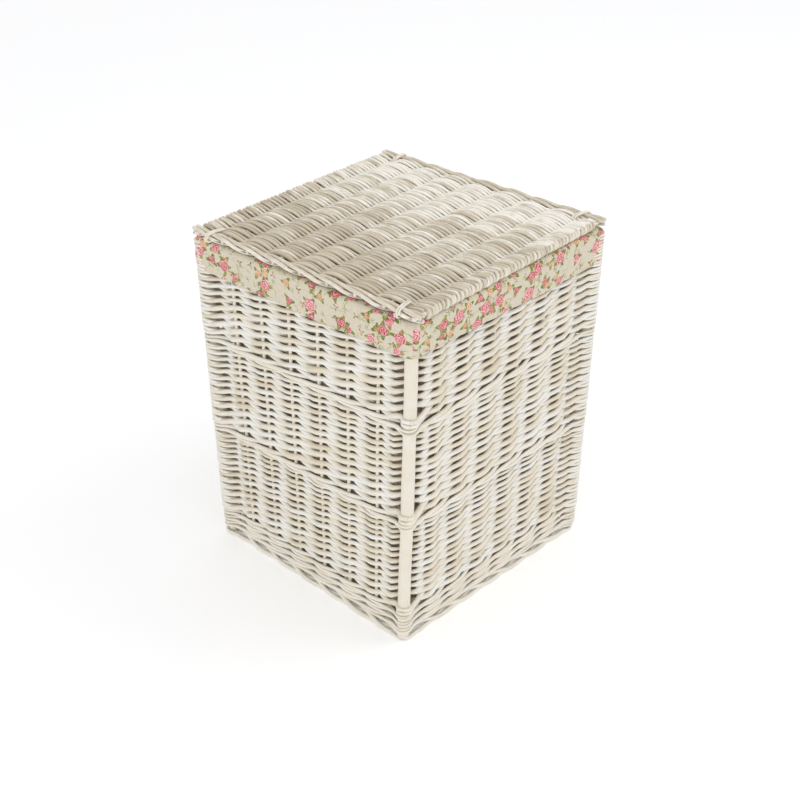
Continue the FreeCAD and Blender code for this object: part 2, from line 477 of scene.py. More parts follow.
@dataclass
class Strand:
    """One rod: the line that it follows, with its thickness, wash and tone at each point."""

    points: Array           # one row of x, y, z for each point
    radius: Array
    wash: Array             # 0 where rubbed thin, 1 where the wash lies thick
    tone: Array             # 0 pale cream, 1 brown
    outward: Array          # the way out of the weave, one row for each point
    depth: Array            # how far out of the weave's middle the rod runs
    swing: float = 5.4 * MM      # how far rods of this weave run to either side
    closed: bool = False

    PAINTED_SHADE_START = -0.46         # share of the swing at which the painted shade starts
    HOLLOW_RANGE = 0.35
    FACING_RANGE = 0.6           # share of the radius over which the surface turns outwards

    def painted_shade(self, rings: Array) -> Array:
        """How deep in the weave each point of the surface lies, if it faces out of it.

        Args:
            rings: points of the swept surface, ring by ring.

        Returns:
            0 on the outside, 1 deep inside, where the painted shade is darkest.
        """
        out = np.einsum("ijk,ik->ij", rings - self.points[:, None], self.outward)
        facing = np.clip(out / self.radius[:, None] / self.FACING_RANGE + 0.5, 0, 1)
        depth = (self.depth[:, None] + out / 2) / self.swing
        sunk = np.clip((self.PAINTED_SHADE_START - depth) / self.HOLLOW_RANGE, 0, 1)
        return (facing * sunk ** 2 * (3 - 2 * sunk)).ravel()


def add_object(name: str, data: bpy.types.ID) -> Piece:
    """Put new data into the scene as an object of that name."""
    thing = bpy.data.objects.new(name, data)
    bpy.context.scene.collection.objects.link(thing)
    return thing


def close_shape(shape: bmesh.types.BMesh, name: str, finishes: Sequence[Finish]) -> Mesh:
    """Turn a finished shape to a mesh.

    Args:
        shape: the shape, which is freed.
        name: the mesh's name.
        finishes: its materials.

    Returns:
        The mesh.
    """
    mesh = bpy.data.meshes.new(name)
    shape.to_mesh(mesh)
    shape.free()
    for finish in finishes:
        mesh.materials.append(finish)
    return mesh


@dataclass
class Bundle:
    """Rods that make up one piece."""

    name: str
    body: str                    # the body that it rides on
    slot: str                    # the record's material slot for the piece
    strands: list[Strand]
    roundness: int = 2           # detail of the section, which has 4 + 2 * roundness edges

    def lines(self) -> bpy.types.Curve:
        """Lay every strand as a spline of one bevelled curve.

        Returns:
            The curve.
        """
        curve = bpy.data.curves.new(self.name, "CURVE")
        curve.dimensions = "3D"
        curve.bevel_depth = 1.0
        curve.bevel_resolution = self.roundness
        for strand in self.strands:
            spline = curve.splines.new("POLY")
            spline.points.add(len(strand.points) - 1)
            places = np.column_stack([strand.points, np.ones(len(strand.points))])
            spline.points.foreach_set("co", places.ravel())
            spline.points.foreach_set("radius", strand.radius)
            spline.use_cyclic_u = strand.closed
        return curve

    def write_attributes(self, mesh: Mesh) -> None:
        """Give each ring of the mesh its place along the rod, its wash and its tone.

        Args:
            mesh: the swept rods, whose rings follow each other strand by strand.
        """
        edges = 4 + 2 * self.roundness
        around = np.arange(edges) * math.tau / edges
        surface = np.empty(len(mesh.vertices) * 3)
        mesh.vertices.foreach_get("co", surface)
        surface = surface.reshape(-1, edges, 3)
        grain, wash, tone, painted_shade = [], [], [], []
        start = 0.0
        ring = 0
        for strand in self.strands:
            # Painted shade for each point of the rod's surface.
            painted_shade.append(strand.painted_shade(surface[ring:ring + len(strand.points)]))
            ring += len(strand.points)
            steps = np.linalg.norm(np.diff(strand.points, axis=0), axis=1)
            along = start + np.concatenate([[0.0], np.cumsum(steps)])
            start = along[-1] + 1.0
            place = np.empty((len(along), edges, 3))
            place[:, :, 0] = along[:, None]
            place[:, :, 1] = strand.radius[:, None] * np.cos(around)
            place[:, :, 2] = strand.radius[:, None] * np.sin(around)
            grain.append(place.reshape(-1, 3))
            wash.append(np.repeat(strand.wash, edges))
            tone.append(np.repeat(strand.tone, edges))
        for name, kind, field_name, values in (
            ("grain", "FLOAT_VECTOR", "vector", np.concatenate(grain)),
            ("wash", "FLOAT", "value", np.concatenate(wash)),
            ("tone", "FLOAT", "value", np.concatenate(tone)),
            ("painted_shade", "FLOAT", "value", np.concatenate(painted_shade)),
        ):
            attribute = mesh.attributes.new(name, kind, "POINT")
            attribute.data.foreach_set(field_name, values.astype(np.float32).ravel())

    def build(self, finish: Finish, replaces: Sequence[str] = ()) -> Piece:
        """Sweep the rods and close their cut ends.

        Args:
            finish: the rods' material.
            replaces: the CAD nodes that the piece stands for.

        Returns:
            The finished piece.
        """
        curve = self.lines()
        sweep = bpy.data.objects.new(self.name, curve)
        mesh = bpy.data.meshes.new_from_object(sweep)
        bpy.data.objects.remove(sweep)
        bpy.data.curves.remove(curve)
        self.write_attributes(mesh)
        shape = bmesh.new()
        shape.from_mesh(mesh)
        for face in shape.faces:
            face.smooth = True
        rims = [edge for edge in shape.edges if edge.is_boundary]
        bmesh.ops.holes_fill(shape, edges=rims, sides=4 + 2 * self.roundness)
        shape.to_mesh(mesh)
        shape.free()
        mesh.name = self.name
        mesh.materials.clear()
        mesh.materials.append(finish)
        piece = add_object(self.name, mesh)
        place_piece(piece, self.body, replaces)
        return piece


def place_piece(piece: Piece, body: str, replaces: Sequence[str]) -> None:
    """Fasten a finished piece to its body and report it.

    Args:
        piece: the finished piece.
        body: the body that it rides on.
        replaces: the CAD nodes that the piece stands for.
    """
    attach(piece, body)
    if replaces:
        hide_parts(*replaces)
    log.info("%s: %d faces on %s", piece.name, len(piece.data.polygons), body)


class Unevenness:
    """What hand work varies: a value drawn at every station and eased from one to the next."""

    def __init__(self, draws: Draws, stations: int, spread: float) -> None:
        """Draw the values.

        Args:
            draws: seeded random numbers.
            stations: how many values there are before they repeat.
            spread: their standard deviation; none is beyond twice this.
        """
        self.values = np.clip(draws.normal(0.0, spread, stations), -2 * spread, 2 * spread)

    def at(self, station: Array) -> Array:
        """Read the value at any place between stations.

        Args:
            station: places, counted in stations.

        Returns:
            One value for each place.
        """
        before = np.floor(station).astype(int)
        ease = (1 - np.cos(math.pi * (station - before))) / 2
        ring = len(self.values)
        return self.values[before % ring] * (1 - ease) + self.values[(before + 1) % ring] * ease


def axis_of(node: str) -> tuple[Array, Array]:
    """Find the axis of a straight round rod.

    Args:
        node: the rod's CAD node.

    Returns:
        The middles of its two end faces, the lower or more negative one first.
    """
    vertices = np.array([vertex.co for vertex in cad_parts[node].data.vertices])
    middle = vertices.mean(axis=0)
    direction = np.linalg.svd(vertices - middle, full_matrices=False)[2][0]
    if direction[np.argmax(np.abs(direction))] < 0:
        direction = -direction
    along = (vertices - middle) @ direction
    low = vertices[along < along.min() + MM].mean(axis=0)
    high = vertices[along > along.max() - MM].mean(axis=0)
    return low, high


def round_corner(
    from_post: Array, depth: Array, at_post: Array, radius: Array, spacing: Array
) -> tuple[Array, Array, Array]:
    """Lay a line that comes round a corner post and goes on along the wall.

    Args:
        from_post: distance from the post, in spans; the bend takes up the first TURN of them.
        depth: how far outside the line of the uprights the rod runs.
        at_post: that distance at the post itself.
        radius: radius of the bend.
        spacing: width of a span.

    Returns:
        Distance along the wall from the post, distance outside it, and the angle still to turn.
    """
    turn = BodyPlan.TURN
    centre = radius - at_post
    gamma = EIGHTH_TURN * np.clip(1 - from_post / turn, 0, 1)
    swell = radius + depth - at_post
    straight = centre + (spacing - centre) * np.clip((from_post - turn) / (1 - turn), 0, 1)
    straight = straight + spacing * np.clip(from_post - 1, 0, None)
    return straight - swell * np.sin(gamma), swell * np.cos(gamma) - centre, gamma


class BodyPlan:
    """Where the uprights stand: four leaning posts and, between them, evenly spaced stakes."""

    TURN = 0.12                  # part of a span in which a rod turns the corner
    ROD_BEND = 8 * MM            # how tightly rods bend behind a post

    def __init__(self) -> None:
        """Read the posts' axes from the frame."""
        axes = [axis_of("corner_post_" + corner.name.lower()) for corner in Corner]
        self.feet = np.array([low for low, _ in axes])
        self.tops = np.array([high for _, high in axes])

    def post(self, corner: int, z: Array) -> Array:
        """Point on a post's axis.

        Args:
            corner: the post's number.
            z: height, of any shape.

        Returns:
            x and y in the last dimension.
        """
        low, high = self.feet[corner % 4], self.tops[corner % 4]
        share = (np.asarray(z) - low[2]) / (high[2] - low[2])
        return low[:2] + (high[:2] - low[:2]) * share[..., None]

    def lay(
        self, side: Side, station: Array, depth: Array, z: Array, bend: float = 0.0
    ) -> tuple[Array, Array]:
        """Lay a line along one side, from the diagonal of one post to the diagonal of the next.

        Args:
            side: the wall.
            station: places along it, 0 at the left post and SPANS at the right one.
            depth: distance outside the line of the uprights; the first and last columns are at the posts.
            z: height.
            bend: radius at the corners, or 0 for rods, which bend round or behind the posts.

        Returns:
            Points, and the way outwards at each, with x, y and z in the last dimension.
        """
        left = self.post(side.value - 1, z)
        right = self.post(side.value, z)
        chord = right - left
        length = np.linalg.norm(chord, axis=-1)
        ahead = chord / length[..., None]
        outward = np.stack([ahead[..., 1], -ahead[..., 0]], axis=-1)
        spacing = length / SPANS
        ends = []
        for from_post, at_post in ((station, depth[..., :1]), (SPANS - station, depth[..., -1:])):
            radius = np.where(at_post > 0, at_post, self.ROD_BEND) if bend == 0.0 else bend
            ends.append(round_corner(from_post, depth, at_post, radius, spacing))
        in_left_half = station < SPANS / 2
        along = np.where(in_left_half, ends[0][0], length - ends[1][0])
        out = np.where(in_left_half, ends[0][1], ends[1][1])
        gamma = np.broadcast_to(np.where(in_left_half, -ends[0][2], ends[1][2]), out.shape)
        plan = left + ahead * along[..., None] + outward * out[..., None]
        facing = outward * np.cos(gamma)[..., None] + ahead * np.sin(gamma)[..., None]
        points = np.concatenate([plan, np.broadcast_to(z, out.shape)[..., None]], axis=-1)
        return points, np.concatenate([facing, np.zeros(out.shape)[..., None]], axis=-1)

    @classmethod
    def stations(cls, steps: int) -> Array:
        """Places along one side, closer together where the line turns the corners.

        Args:
            steps: how many steps each span takes.

        Returns:
            Places from 0 to SPANS.
        """
        even = np.linspace(0, SPANS, SPANS * steps + 1)
        corner = cls.TURN * np.array([0.25, 0.5, 0.75, 1.0])
        places = np.concatenate([even[(even == 0) | (even > cls.TURN)], corner])
        places = places[places <= SPANS / 2]
        return np.unique(np.concatenate([places, SPANS - places]).round(6))


def near_post(from_post: Array, reach: float) -> Array:
    """How strongly a post bears on a rod that passes it.

    Args:
        from_post: distance from the post, in spans.
        reach: the distance at which it ends.

    Returns:
        1 at the post, easing to 0 at that distance.
    """
    share = np.clip((from_post - BodyPlan.TURN) / (reach - BodyPlan.TURN), 0, 1)
    return (1 + np.cos(math.pi * share)) / 2


def from_nearest_post(station: Array) -> Array:
    """Distance from the nearer post of a wall, in spans."""
    return np.minimum(station, SPANS - station)


# --- Body ------------------------------------------------------------------------------------


@dataclass(frozen=True)
class PairedRow:
    """One round of pairing: two rods that change places between every two uprights."""

    z: float
    radius: float
    over_posts: bool
    lift: tuple[Unevenness, Unevenness]
    girth: tuple[Unevenness, Unevenness]
    reach: tuple[Unevenness, Unevenness]
    tone: tuple[Unevenness, Unevenness]
    wear: tuple[Unevenness, Unevenness]      # how the wash varies from place to place


@dataclass(frozen=True)
class Passing:
    """How the two rods of a row pass a corner post."""

    middle: float                # mean distance outside the uprights' line
    swing: float                 # how far the two rods are from that
    reach: float                 # how far from the post that holds, in spans
    places: tuple[float, ...]    # distances from the post, in spans
    turns: tuple[float, ...]     # half turns of the pair at those places

    def wind(self, from_post: Array) -> Array:
        """Find how far the pair has turned.

        Args:
            from_post: distance from the post, in spans.

        Returns:
            Half turns, from the post to the first stake.
        """
        return np.interp(from_post, self.places, self.turns)


BEHIND_POST = Passing(-7.0 * MM, 2.8 * MM, 0.36, (0.0, 0.35, 1.0), (0.0, 0.22, 1.0))
ROUND_POST = Passing(12.0 * MM, 0.0, 0.62, (0.0, 0.45, 1.0), (-0.5, 0.0, 1.0))
OVER_PROUD_POST = Passing(10.7 * MM, 0.0, 0.34, (0.0, 0.45, 1.0), (-0.5, 0.0, 1.0))

# Two opposite posts stand proud of the pairing, which closes up tightly round the other two.
PROUD_POSTS = (Corner.FRONT_LEFT, Corner.BACK_RIGHT)


def ends_proud(side: Side) -> list[bool]:
    """Whether the posts at the left and the right end of a wall stand proud."""
    return [Corner(number % len(Corner)) in PROUD_POSTS for number in (side.value - 1, side.value)]


@dataclass
class PairedSection:
    """Rows of pairing that fill the four walls between two bands of waling."""

    name: str                    # the CAD nodes' name, without the side
    below: str                   # band under the section
    above: str                   # band over it
    rows: int
    crossing_rows: int = 1       # lowest rows, which run round every post
    first_pitch: float = 13.4 * MM
    last_pitch: float = 8.9 * MM
    front_swing: float = 4.9 * MM
    back_swing: float = 5.6 * MM
    post_squeeze: float = 0.2    # how much thinner the rods are where they bend round a post
    overlap: float = 0.8 * MM    # how far rods of two sides run into each other at a corner
    lead: float = 0.1            # rods change places this much nearer to the stake on the right
    pitch_spread: float = 0.05
    spreads: tuple[float, ...] = (0.45 * MM, 0.09, 0.35 * MM, 0.22, 0.2)    # in the order of a row's fields
    front_swell: float = 0.2     # how much thicker the rods are on their bends in front
    sharpness: float = 0.6       # 0 for sine waves, 1 for the sharpest bends over the stakes
    rise: float = 0.98           # half the height between the two rods, in radii
    steepness: float = 0.35      # how much earlier than a sine wave they reach it
    wash: float = 0.72
    rubbed: float = 0.4          # how much of the wash is gone in front
    tone: float = 0.2
    tone_stretch: float = 3.5    # spans over which the wood's tone holds
    steps: int = 12

    def make_rows(self, draws: Draws) -> list[PairedRow]:
        """Space the rows: widest at the bottom, beaten closer together towards the top.

        Args:
            draws: seeded random numbers.

        Returns:
            The rows, from the bottom up.
        """
        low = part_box(self.below)[1].z
        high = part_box(self.above)[0].z
        pitches = np.linspace(self.first_pitch, self.last_pitch, self.rows)
        pitches *= draws.normal(1.0, self.pitch_spread, self.rows)
        pitches *= (high - low) / pitches.sum()
        heights = low + np.cumsum(pitches) - pitches / 2
        rows = []
        for number, (z, pitch) in enumerate(zip(heights, pitches)):
            drawn = [tuple(Unevenness(draws, STATIONS, spread) for _ in range(2)) for spread in self.spreads]
            rows.append(PairedRow(z, pitch / 4, number < self.crossing_rows, *drawn))
        return rows

    def strand(self, plan: BodyPlan, row: PairedRow, side: Side, rod: int) -> Strand:
        """Lay one rod of a row along one side.

        Args:
            plan: where the uprights stand.
            row: the row.
            side: the wall.
            rod: 0 or 1.

        Returns:
            The rod.
        """
        station = plan.stations(self.steps)
        whole = station + SPANS * side.value
        past_proud = OVER_PROUD_POST if row.over_posts else BEHIND_POST
        passings = [past_proud if proud else ROUND_POST for proud in ends_proud(side)]
        left = passings[0].wind(station) - 1
        right = 1 - passings[1].wind(SPANS - station)
        wound = np.clip(station, 1, SPANS - 1) + left + right
        phase = math.pi * (wound + SPANS * side.value + rod + self.lead)
        front = np.cos(phase)
        in_front = np.clip(front, 0, 1)
        radius = row.radius * (1 + self.front_swell * in_front) * (1 + row.girth[rod].at(whole))
        sharp = front * (1 - self.sharpness + self.sharpness * front ** 2)
        depth = np.where(front > 0, self.front_swing, self.back_swing) * sharp + row.reach[rod].at(whole)
        for passing, from_post in zip(passings, (station, SPANS - station)):
            post = near_post(from_post, passing.reach)
            depth = depth * (1 - post) + (passing.middle + passing.swing * front) * post
            radius = radius * (1 - self.post_squeeze * post)
        climb = np.sin(phase) * (1 + self.steepness - self.steepness * np.sin(phase) ** 2)
        z = row.z + self.rise * row.radius * climb + row.lift[rod].at(whole)
        wash = self.wash - self.rubbed * in_front + row.wear[rod].at(whole)
        tone = np.clip(self.tone + row.tone[rod].at(whole / self.tone_stretch), 0, 1)
        points, outward = plan.lay(side, station, depth, z)
        for end, before in ((0, 1), (-1, -2)):
            last = points[end] - points[before]
            points[end] += last * self.overlap / np.linalg.norm(last)
        return Strand(points, radius, wash, tone, outward, depth)

    def build(self, plan: BodyPlan, finish: Finish, draws: Draws) -> None:
        """Weave the section, one piece for each side.

        Args:
            plan: where the uprights stand.
            finish: the rods' material.
            draws: seeded random numbers.
        """
        rows = self.make_rows(draws)
        for side in Side:
            node = f"{self.name}_{side.name.lower()}"
            rods = [self.strand(plan, row, side, rod) for row in rows for rod in (0, 1)]
            Bundle("paired_" + node, "basket", "whitewashed_willow", rods).build(finish, [node])


class Climb(Enum):
    """How the rods of a band rise and fall as they pass in front of the uprights."""

    RISING = "rising"            # wale: strokes climb to the right
    TURNED_DOWN = "turned_down"  # border: each rod comes down over the last and then runs level


def rising_path(whole: Array) -> tuple[Array, Array]:
    """Find how far back and how high a rod of three-rod waling is.

    Args:
        whole: places along the rod, in spans.

    Returns:
        0 in front to 1 behind, and height from -1 to 1.
    """
    step = np.mod(whole + 0.5, RODS) - 0.5
    from_back = np.abs(np.mod(step + 1 - RODS / 2, RODS) - RODS / 2)
    hidden = np.where(from_back < 1, np.cos(QUARTER_TURN * from_back) ** 2, 0)
    height = np.where(step < RODS / 2, np.sin(QUARTER_TURN * (step - 0.5)), -np.sin(math.pi * (step - 2)))
    return hidden, height


def turned_down_path(whole: Array) -> tuple[Array, Array]:
    """Find how far back and how high a rod of the border is.

    Args:
        whole: places along the rod, in spans.

    Returns:
        0 in front to 1 behind, and height from -1 to 1.
    """
    step = np.mod(whole + 0.5, RODS) - 0.5
    hidden = np.interp(step, [-0.5, 0.1, 0.6, 1.3, 2.0, 2.5], [0.55, 0.02, 0.0, 0.35, 1.0, 0.55])
    bends = [-0.5, -0.2, 0.35, 0.8, 1.6, 2.2, 2.5]
    return hidden, np.interp(step, bends, [1.0, 0.75, -0.85, -1.0, -0.8, 0.6, 1.0])


@dataclass
class Waling:
    """A band of three-rod work: each rod runs in front of two uprights and behind the third."""

    node: str
    rows: int
    radius: float
    rise: float                  # half the height that a rod climbs or drops
    climb: Climb = Climb.RISING
    proud: float = 5.9 * MM      # how far in front of the uprights' line the rods pass
    behind: float = -5.4 * MM
    over_post: float = 10.0 * MM
    over_corner: float = 12.2 * MM    # at a corner where the weave hides its post
    post_squeeze: float = 0.36   # how much thinner the rods are where they bend round a post
    post_reach: float = 0.4      # how far from a post it holds them, in spans
    spreads: tuple[float, ...] = (0.35 * MM, 0.08, 0.2)    # of height, girth and tone
    wash: float = 0.45           # in front of the uprights
    wash_behind: float = 0.4     # how much thicker it lies behind them
    tone: float = 0.22
    tone_stretch: float = 5.0    # spans over which the wood's tone holds
    steps: int = 12

    def strand(self, plan: BodyPlan, z: float, draws: Draws) -> Strand:
        """Lay one row: a single line that goes three times round, a station further each time.

        Args:
            plan: where the uprights stand.
            z: the row's height.
            draws: seeded random numbers.

        Returns:
            The row, as one closed strand.
        """
        path = rising_path if self.climb is Climb.RISING else turned_down_path
        length = RODS * STATIONS
        lift, girth, tones = (Unevenness(draws, length, spread) for spread in self.spreads)
        station = plan.stations(self.steps)
        parts = []
        for leg in range(RODS * len(Side)):
            side = Side(leg % len(Side))
            whole = station + SPANS * leg
            hidden, climb = path(whole)
            post = near_post(from_nearest_post(station), self.post_reach)
            overs = [self.over_post if proud else self.over_corner for proud in ends_proud(side)]
            over = np.where(station < SPANS / 2, *overs)
            depth = (self.proud + (over - self.proud) * post) * (1 - hidden) + self.behind * hidden
            radius = self.radius * (1 + girth.at(whole)) * (1 - self.post_squeeze * post)
            height = np.maximum(z + self.rise * climb + lift.at(whole), radius)
            points, outward = plan.lay(side, station, depth, height)
            tone = np.clip(self.tone + tones.at(whole / self.tone_stretch), 0, 1)
            part = (points, radius, self.wash + self.wash_behind * hidden, tone, outward, depth)
            parts.append(tuple(column[:-1] for column in part))
        return Strand(*(np.concatenate(column) for column in zip(*parts)), closed=True)

    def build(self, plan: BodyPlan, finish: Finish, draws: Draws) -> None:
        """Weave the band.

        Args:
            plan: where the uprights stand.
            finish: the rods' material.
            draws: seeded random numbers.
        """
        low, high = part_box(self.node)
        pitch = (high.z - low.z) / self.rows
        rods = [self.strand(plan, low.z + pitch * (row + 0.5), draws) for row in range(self.rows)]
        Bundle(self.node + "_rods", "basket", "whitewashed_willow", rods).build(finish, [self.node])


def plain_stick(
    low: Array, high: Array, radius: float, steps: int, draws: Draws,
    wash: float, bow: float = 0.35 * MM,
) -> Strand:
    """Lay a nearly straight stick, with the slight bows and swellings of real wood.

    Args:
        low: middle of its first end.
        high: middle of its other end.
        radius: of the stick.
        steps: how many points it has.
        draws: seeded random numbers.
        wash: how thick the wash lies on it, 0 to 1.
        bow: how far it bows, as a standard deviation.

    Returns:
        The stick.
    """
    share = np.linspace(0, 1, steps)
    points = low + (high - low) * share[:, None]
    level = UP if abs(high[2] - low[2]) < radius else np.array([1.0, 0.0, 0.0])
    sideways = np.cross(high - low, level)
    points = points + level * Unevenness(draws, 6, bow).at(share * 5)[:, None]
    points = points + sideways / np.linalg.norm(sideways) * Unevenness(draws, 6, bow).at(share * 5)[:, None]
    girth = radius * (1 + Unevenness(draws, 9, 0.02).at(share * 8))
    still = np.zeros(steps)
    return Strand(points, girth, still + wash, still + 0.12, np.zeros((steps, 3)), still)


@dataclass
class Uprights:
    """What the body is woven round: thick peeled corner posts and thin stakes between them."""

    proud_radius: float = 8.6 * MM
    hidden_radius: float = 8.2 * MM
    stake_radius: float = 2.5 * MM
    stake_out: float = 1.3 * MM  # the weave pulls the stakes this far towards its face
    wash: float = 0.4

    def build(self, plan: BodyPlan, peeled: Finish, washed: Finish, draws: Draws) -> None:
        """Make the posts and stakes.

        Args:
            plan: where they stand.
            peeled: the posts' material.
            washed: the stakes' material.
            draws: seeded random numbers.
        """
        for corner in Corner:
            name = corner.name.lower()
            low, high = plan.feet[corner.value], plan.tops[corner.value]
            radius = self.proud_radius if corner in PROUD_POSTS else self.hidden_radius
            post = plain_stick(low, high, radius, 60, draws, self.wash)
            node = "corner_post_" + name
            Bundle("post_" + name, "basket", "willow_stick", [post], 8).build(peeled, [node])
        heights = np.array([plan.feet[0][2], plan.tops[0][2]])
        for side in Side:
            name = "stakes_" + side.name.lower()
            stakes = []
            for number in range(1, STAKES_PER_SIDE + 1):
                station = np.array([0.0, float(number), float(SPANS)])
                depth = np.full(3, self.stake_out)
                low, high = (plan.lay(side, station, depth, np.full(3, z))[0][1] for z in heights)
                stakes.append(plain_stick(low, high, self.stake_radius, 40, draws, self.wash))
            Bundle(name + "_rods", "basket", "willow_stick", stakes).build(washed, [name])


@dataclass
class BasketBody:
    """The woven body: posts and stakes, three paired sections and the bands between them."""

    sections: tuple[PairedSection, ...] = (
        PairedSection("lower_weave", "foot_wale", "lower_wale", 13),
        PairedSection("middle_weave", "lower_wale", "upper_wale", 12),
        PairedSection("upper_weave", "upper_wale", "rim_border", 12),
    )
    bands: tuple[Waling, ...] = (
        Waling("foot_border", 1, 3.2 * MM, 3.6 * MM, Climb.TURNED_DOWN, proud=7.6 * MM),
        Waling("foot_wale", 3, 2.55 * MM, 3.7 * MM),
        Waling("lower_wale", 1, 2.9 * MM, 4.2 * MM),
        Waling("upper_wale", 1, 2.9 * MM, 4.2 * MM),
        Waling("rim_border", 1, 3.1 * MM, 4.0 * MM, proud=5.6 * MM),
    )

    def build(self, plan: BodyPlan, draws: Draws) -> None:
        """Build the body's pieces.

        Args:
            plan: where the uprights stand.
            draws: seeded random numbers.
        """
        woven = Willow("whitewashed_willow_rods").build()
        peeled = Willow(
            "peeled_willow_post", wood_colour="#E3DAC8", brown_colour="#BFAC8B", wash_colour="#E4E0D7",
            streak_width=2.4 * MM, roughness=0.5,
        ).build()
        Uprights().build(plan, peeled, woven, draws)
        for section in self.sections:
            section.build(plan, woven, draws)
        for band in self.bands:
            band.build(plan, woven, draws)


def dress_node(node: str, finish: Finish) -> None:
    """Give a CAD node that stays in view its finish.

    Args:
        node: the node's name.
        finish: its material.
    """
    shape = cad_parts[node]
    if not shape.material_slots:
        shape.data.materials.append(finish)
    for slot in shape.material_slots:
        slot.material = finish
    log.info("%s: CAD node in %s", node, finish.name)


# --- Flat weaves: base and lid ---------------------------------------------------------------


def facing_up(z: Array) -> Array:
    """The way out of a flat weave's face, one row for each height."""
    return np.tile(UP, (len(z), 1))


@dataclass(frozen=True)
class FlatPlan:
    """The plane of a flat weave, with its own way along the sticks and its own way across them."""

    middle: Array
    ahead: Array            # unit vector along the sticks
    half_reach: float            # from the middle to the outer sticks

    @classmethod
    def between(cls, first_stick: str, last_stick: str) -> "FlatPlan":
        """Read the plane from the two outer sticks.

        Args:
            first_stick: CAD node of the stick at the near edge.
            last_stick: CAD node of the stick at the far edge.

        Returns:
            The plane.
        """
        (left, right), far = axis_of(first_stick), axis_of(last_stick)
        ahead = (right - left) / np.linalg.norm(right - left)
        near_middle, far_middle = (left + right) / 2, (far[0] + far[1]) / 2
        half_reach = float((far_middle - near_middle) @ np.cross(UP, ahead)) / 2
        return cls((near_middle + far_middle) / 2, ahead, half_reach)

    def lay(self, x: Array, y: Array, z: Array) -> Array:
        """Turn the weave's own coordinates to points.

        Args:
            x: distance along the sticks from the middle.
            y: distance across them.
            z: height over the plane.

        Returns:
            Points, with x, y and z in the last dimension.
        """
        ways = (self.ahead, np.cross(UP, self.ahead), UP)
        return self.middle + sum(way * np.asarray(far)[..., None] for way, far in zip(ways, (x, y, z)))


@dataclass
class PlainWeave:
    """One long line of rods, over and under the sticks and back round the outer one each time."""

    name: str
    body: str
    node: str
    half_width: float            # half the woven width, along the sticks
    pitch: float                 # from one pass to the next
    radius: float
    swing: float                 # how far over and under the sticks the rods pass
    sticks: int = 9
    squeeze: float = 0.34        # how much thinner rods look where neighbours cross
    steps: int = 8
    turn_steps: int = 5
    sway: float = 0.7 * MM
    right_edge_paling: float = 0.0       # how much paler the rods are at the right edge than in the middle
    wash: float = 0.5
    wash_spread: float = 0.22
    rubbed: float = 0.1          # how much of the wash is gone on the bends over the sticks
    turn_wash: float = 0.35      # where the line turns back at the edge
    tone: float = 0.3
    tone_spread: float = 0.28
    crown_spread: float = 0.09   # how much the bends over the sticks vary in height
    girth_spread: float = 0.1

    def strand(self, plan: FlatPlan, draws: Draws) -> Strand:
        """Lay the whole line.

        Args:
            plan: the plane that it lies in.
            draws: seeded random numbers.

        Returns:
            The line, from one side of the weave to the other.
        """
        passes = int(2 * self.half_width / self.pitch)
        gap = 2 * plan.half_reach / (self.sticks - 1)
        share = np.linspace(0, self.sticks - 1, (self.sticks - 1) * self.steps + 1)
        bend = np.linspace(0, math.pi, self.turn_steps + 2)[1:-1]
        drift = [Unevenness(draws, self.sticks, self.sway) for _ in range(4)]
        parts = []
        for number in range(passes):
            x = -self.half_width + self.pitch * (number + 0.5)
            over = np.cos(math.pi * (share + number))
            fullness = np.abs(over) * (1.5 - 0.5 * over ** 2)
            wander = Unevenness(draws, self.sticks, self.sway).at(share) + drift[number // 5 % 4].at(share)
            crown = 1 + Unevenness(draws, self.sticks, self.crown_spread).at(share)
            thick = 1 + float(np.clip(draws.normal(0, self.girth_spread), -0.2, 0.2))
            radius = self.radius * thick * (1 - self.squeeze * (1 - fullness))
            y = share * gap - plan.half_reach
            tone = np.clip(self.tone + Unevenness(draws, self.sticks, self.tone_spread).at(share), 0, 1)
            wash = self.wash + self.right_edge_paling * x / self.half_width
            wash = wash + Unevenness(draws, self.sticks, self.wash_spread).at(share)
            wash = wash - self.rubbed * np.clip(over, 0, 1)
            forward = slice(None) if number % 2 == 0 else slice(None, None, -1)
            ring = (x + wander, y, self.swing * crown * over, radius, wash, tone)
            parts.append(tuple(column[forward] for column in ring))
            if number == passes - 1:
                break
            edge = 1 if number % 2 == 0 else -1
            start = over[-1] if edge == 1 else over[0]
            last = parts[-1]
            parts.append((
                last[0][-1] + self.pitch * bend / math.pi,
                edge * (plan.half_reach + self.swing * np.sin(bend)),
                start * self.swing * np.cos(bend),
                np.full(bend.size, self.radius * thick),
                np.full(bend.size, self.turn_wash),
                np.full(bend.size, last[5][-1]),
            ))
        x, y, z, radius, wash, tone = (np.concatenate(column) for column in zip(*parts))
        return Strand(plan.lay(x, y, z), radius, wash, tone, facing_up(z), z, self.swing)

    def build(self, plan: FlatPlan, finish: Finish, draws: Draws) -> None:
        """Weave the piece.

        Args:
            plan: the plane that it lies in.
            finish: the rods' material.
            draws: seeded random numbers.
        """
        line = self.strand(plan, draws)
        Bundle(self.name, self.body, "whitewashed_willow", [line]).build(finish, [self.node])


